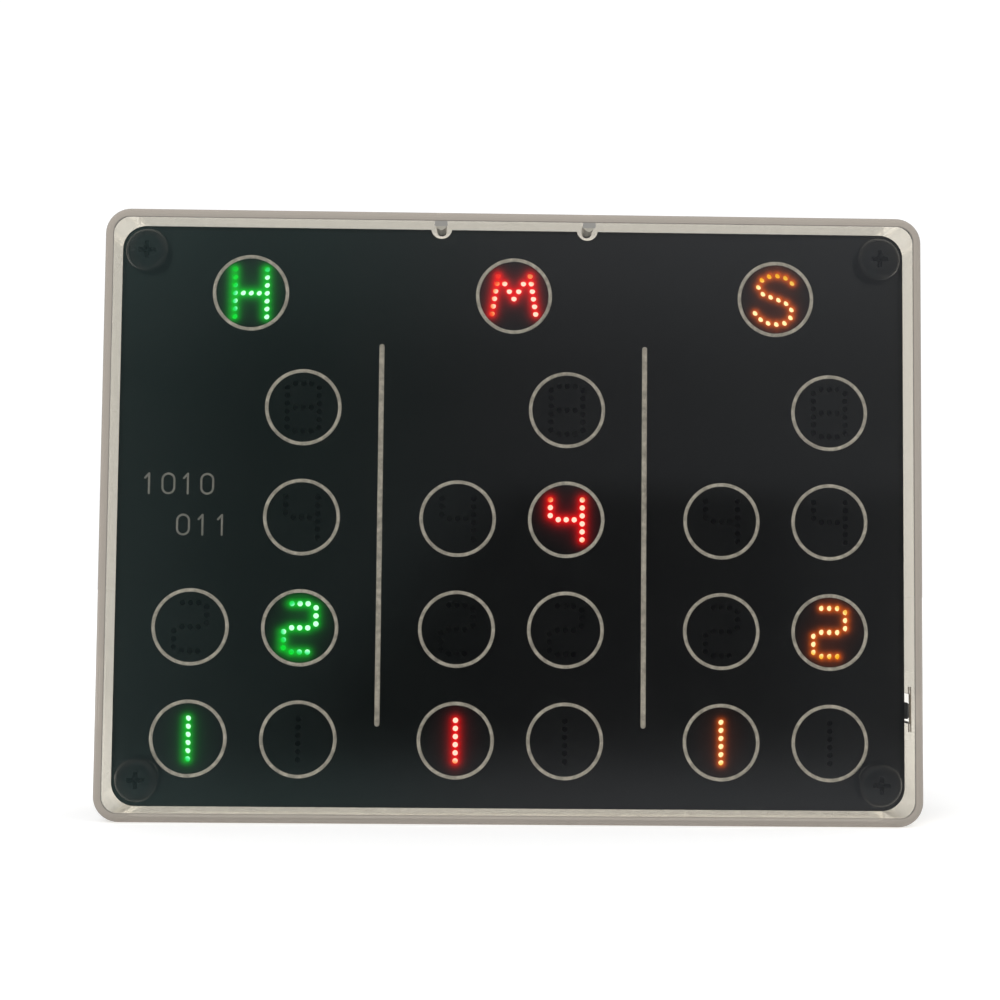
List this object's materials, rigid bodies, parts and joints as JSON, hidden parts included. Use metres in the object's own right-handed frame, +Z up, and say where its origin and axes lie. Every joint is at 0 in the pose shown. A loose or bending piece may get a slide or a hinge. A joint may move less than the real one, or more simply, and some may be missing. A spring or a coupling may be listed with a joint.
{
  "type": "binary clock",
  "caption": "Desk binary clock: black board with round lit cells for hours, minutes and seconds, in a clear snap-fit case with a side slide switch.",
  "frame": {"origin": "middle of the flat bottom face that the clock stands on", "axes": "+X to the right as the display is read, +Y from the display to the back, +Z up"},
  "size_m": [0.1037, 0.024, 0.0767],
  "materials": {
    "clear_case": "clear, polished, faint warm tint",
    "display_mask": "glossy black solder mask",
    "board_mask": "black solder mask",
    "black_foam": "matt black",
    "black_screw": "black oxide",
    "brass": "plain turned",
    "spacer_nylon": "black nylon",
    "green_led": "diode body, lit green",
    "red_led": "diode body, lit red",
    "amber_led": "diode body, lit amber",
    "steel": "plain stamped",
    "key_black": "fine matt",
    "chip_black": "moulded epoxy with tinned leads",
    "cell_steel": "bright plated",
    "aluminium_can": "drawn can",
    "resistor_black": "glazed top with tinned ends"
  },
  "bodies": {
    "case": {"rear_case": "clear_case", "display_board": "display_mask", "light_baffle": "black_foam", "main_board": "board_mask", "corner_screws": "black_screw", "board_spacers": "spacer_nylon", "threaded_inserts": "brass", "hour_leds": "green_led", "minute_leds": "red_led", "second_leds": "amber_led", "slide_switch_body": "steel", "button_housings": "steel", "power_inlet_shell": "steel", "power_inlet_tongue": "key_black", "coin_cell": "cell_steel", "coin_cell_holder": "key_black", "coin_cell_clip": "steel", "controller_chip": "chip_black", "clock_chip": "chip_black", "driver_chips": "chip_black", "crystal": "steel", "capacitor": "aluminium_can", "resistors": "resistor_black"},
    "cover": {"front_cover": "clear_case"},
    "switch_lever": {"slide_switch_lever": "key_black"},
    "hour_key": {"hour_button": "key_black"},
    "minute_key": {"minute_button": "key_black"},
    "mode_key": {"mode_button": "key_black"}
  },
  "joints": [
    {"name": "cover_lift", "type": "slide", "parent": "case", "child": "cover", "axis": [0, -1, 0], "range_m": [0, 0.03]},
    {"name": "power_switch", "type": "slide", "parent": "case", "child": "switch_lever", "axis": [0, 0, 1], "range_m": [0, 0.0013]},
    {"name": "hour_press", "type": "slide", "parent": "case", "child": "hour_key", "axis": [0, -1, 0], "range_m": [0, 0.00025], "stiffness_N_per_m": 1500},
    {"name": "minute_press", "type": "slide", "parent": "case", "child": "minute_key", "axis": [0, -1, 0], "range_m": [0, 0.00025], "stiffness_N_per_m": 1500},
    {"name": "mode_press", "type": "slide", "parent": "case", "child": "mode_key", "axis": [0, -1, 0], "range_m": [0, 0.00025], "stiffness_N_per_m": 1500}
  ]
}
